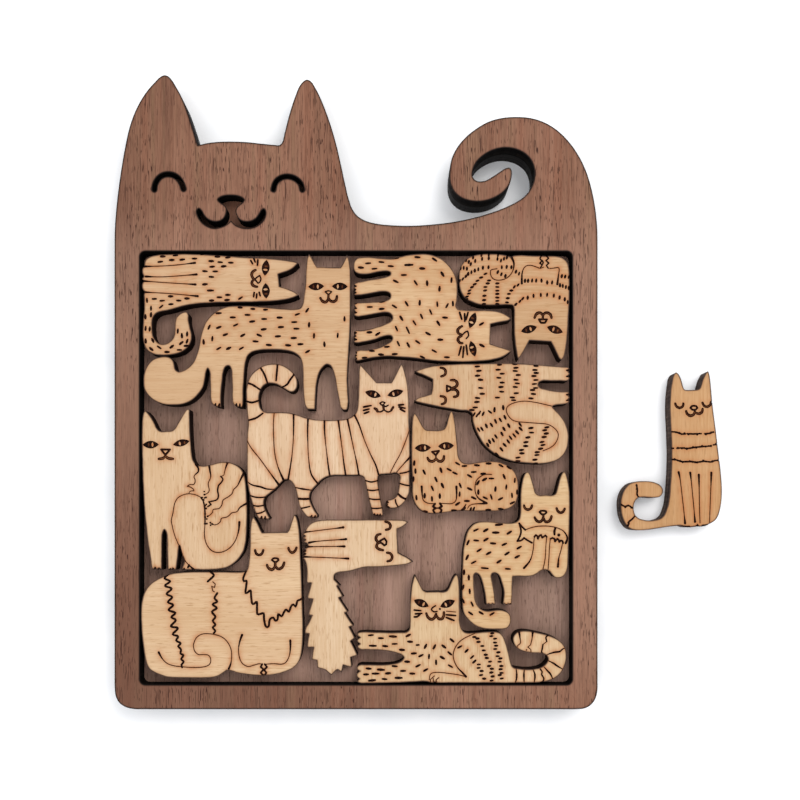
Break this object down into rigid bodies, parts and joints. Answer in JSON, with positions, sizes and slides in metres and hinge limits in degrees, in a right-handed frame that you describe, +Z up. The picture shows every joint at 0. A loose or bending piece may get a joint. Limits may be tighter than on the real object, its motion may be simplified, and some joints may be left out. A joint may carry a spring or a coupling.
{
  "type": "cat tray puzzle",
  "caption": "Flat wooden cat whose square belly is a shallow tray, with small flat wooden cats burnt with faces and stripes packed in it and another lying beside it.",
  "frame": {"origin": "centre of the square pocket, on the underside of the tray's base", "axes": "+Z up out of the tray, +Y from the pocket towards the big cat's ears, +X towards the side the big cat's tail rises on, where the loose cat lies"},
  "size_m": [0.1963, 0.2029, 0.0095],
  "materials": {
    "walnut": "satin open-grain walnut veneer",
    "walnut_floor": "matt walnut veneer",
    "maple": "matt pale veneer with burnt lines",
    "burnt_edge": "charred laser-cut edge"
  },
  "bodies": {
    "tray": {"tray_base": "walnut_floor", "tray_frame": "walnut"},
    "cat_lying": {"cat_lying": "maple"},
    "cat_two_ears_spots": {"cat_two_ears_spots": "maple"},
    "cat_sideways": {"cat_sideways": "maple"},
    "cat_upside_down": {"cat_upside_down": "maple"},
    "cat_striped_walker": {"cat_striped_walker": "maple"},
    "cat_curled": {"cat_curled": "maple"},
    "cat_loaf": {"cat_loaf": "maple"},
    "cat_sitting": {"cat_sitting": "maple"},
    "cat_with_fish": {"cat_with_fish": "maple"},
    "cat_long_chest": {"cat_long_chest": "maple"},
    "cat_bushy_tail": {"cat_bushy_tail": "maple"},
    "cat_crouching": {"cat_crouching": "maple"},
    "cat_loose": {"cat_loose": "maple"}
  },
  "joints": [
    {"name": "cat_lying_lift", "type": "slide", "parent": "tray", "child": "cat_lying", "axis": [0, 0, 1], "range_m": [0, 0.02]},
    {"name": "cat_two_ears_spots_lift", "type": "slide", "parent": "tray", "child": "cat_two_ears_spots", "axis": [0, 0, 1], "range_m": [0, 0.02]},
    {"name": "cat_sideways_lift", "type": "slide", "parent": "tray", "child": "cat_sideways", "axis": [0, 0, 1], "range_m": [0, 0.02]},
    {"name": "cat_upside_down_lift", "type": "slide", "parent": "tray", "child": "cat_upside_down", "axis": [0, 0, 1], "range_m": [0, 0.02]},
    {"name": "cat_striped_walker_lift", "type": "slide", "parent": "tray", "child": "cat_striped_walker", "axis": [0, 0, 1], "range_m": [0, 0.02]},
    {"name": "cat_curled_lift", "type": "slide", "parent": "tray", "child": "cat_curled", "axis": [0, 0, 1], "range_m": [0, 0.02]},
    {"name": "cat_loaf_lift", "type": "slide", "parent": "tray", "child": "cat_loaf", "axis": [0, 0, 1], "range_m": [0, 0.02]},
    {"name": "cat_sitting_lift", "type": "slide", "parent": "tray", "child": "cat_sitting", "axis": [0, 0, 1], "range_m": [0, 0.02]},
    {"name": "cat_with_fish_lift", "type": "slide", "parent": "tray", "child": "cat_with_fish", "axis": [0, 0, 1], "range_m": [0, 0.02]},
    {"name": "cat_long_chest_lift", "type": "slide", "parent": "tray", "child": "cat_long_chest", "axis": [0, 0, 1], "range_m": [0, 0.02]},
    {"name": "cat_bushy_tail_lift", "type": "slide", "parent": "tray", "child": "cat_bushy_tail", "axis": [0, 0, 1], "range_m": [0, 0.02]},
    {"name": "cat_crouching_lift", "type": "slide", "parent": "tray", "child": "cat_crouching", "axis": [0, 0, 1], "range_m": [0, 0.02]},
    {"name": "cat_loose_lift", "type": "slide", "parent": "tray", "child": "cat_loose", "axis": [0, 0, 1], "range_m": [0, 0.02]}
  ]
}
